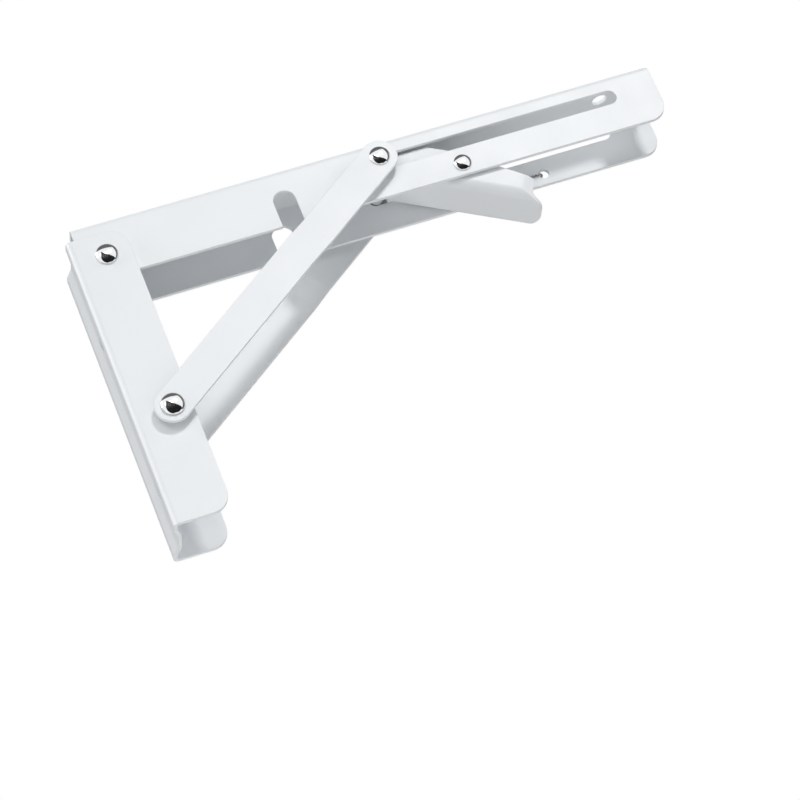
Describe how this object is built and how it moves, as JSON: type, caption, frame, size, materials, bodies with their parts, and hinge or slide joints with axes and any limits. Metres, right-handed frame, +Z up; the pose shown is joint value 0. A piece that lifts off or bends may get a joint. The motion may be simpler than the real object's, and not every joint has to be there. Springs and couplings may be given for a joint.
{
  "type": "folding shelf bracket",
  "caption": "Fold-down shelf bracket: wall channel, shelf channel and two struts that slide in slots, with a sprung release lever.",
  "frame": {"origin": "midway between the two wall screw holes, on the wall side of the pressed web; the wall's face is 2.2 mm behind it", "axes": "+X out from the wall, +Z up, Y along the wall; all but the lever spring is mirrored about Y = 0, and left is -Y"},
  "size_m": [0.3056, 0.0568, 0.1691],
  "materials": {
    "white_coat": "satin powder coat, fine texture",
    "polished_steel": "polished",
    "plain_steel": "plain turned steel",
    "spring_steel": "drawn wire"
  },
  "bodies": {
    "wall": {"wall_channel": "white_coat", "hinge_rivet_left": "polished_steel", "hinge_rivet_right": "polished_steel", "strut_foot_rivet_left": "polished_steel", "strut_foot_rivet_right": "polished_steel", "strut_bush_left": "plain_steel", "strut_bush_right": "plain_steel"},
    "shelf": {"shelf_channel": "white_coat", "lever_pin": "polished_steel", "lever_spring": "spring_steel"},
    "lever": {"release_lever": "white_coat"},
    "pin": {"cross_pin": "polished_steel", "pin_bush_left": "plain_steel", "pin_bush_right": "plain_steel"},
    "strut_left": {"strut_left": "white_coat", "strut_head_rivet_left": "polished_steel"},
    "strut_right": {"strut_right": "white_coat", "strut_head_rivet_right": "polished_steel"}
  },
  "joints": [
    {"name": "shelf_fold", "type": "hinge", "parent": "wall", "child": "shelf", "pos_m": [0.0148, 0, 0.0765], "axis": [0, 1, 0], "range_deg": [0, 90]},
    {"name": "strut_left_swing", "type": "hinge", "parent": "wall", "child": "strut_left", "pos_m": [0.017, 0, -0.0149], "axis": [0, 1, 0], "range_deg": [0, 123.5]},
    {"name": "strut_right_swing", "type": "hinge", "parent": "wall", "child": "strut_right", "pos_m": [0.017, 0, -0.0149], "axis": [0, 1, 0], "range_deg": [0, 123.5]},
    {"name": "pin_slide", "type": "slide", "parent": "shelf", "child": "pin", "axis": [1, 0, 0], "range_m": [0, 0.121]},
    {"name": "lever_press", "type": "hinge", "parent": "shelf", "child": "lever", "pos_m": [0.196, 0, 0.0721], "axis": [0, -1, 0], "range_deg": [0, 24], "stiffness_Nm_per_rad": 0.5, "springref_deg": -17.19, "deforming": ["lever_spring"]}
  ],
  "couplings": [
    {"joint": "strut_left_swing", "follows": "shelf_fold", "ratio": 1.3714},
    {"joint": "strut_right_swing", "follows": "shelf_fold", "ratio": 1.3714},
    {"joint": "pin_slide", "follows": "shelf_fold", "m_per_rad": 0.077008}
  ]
}
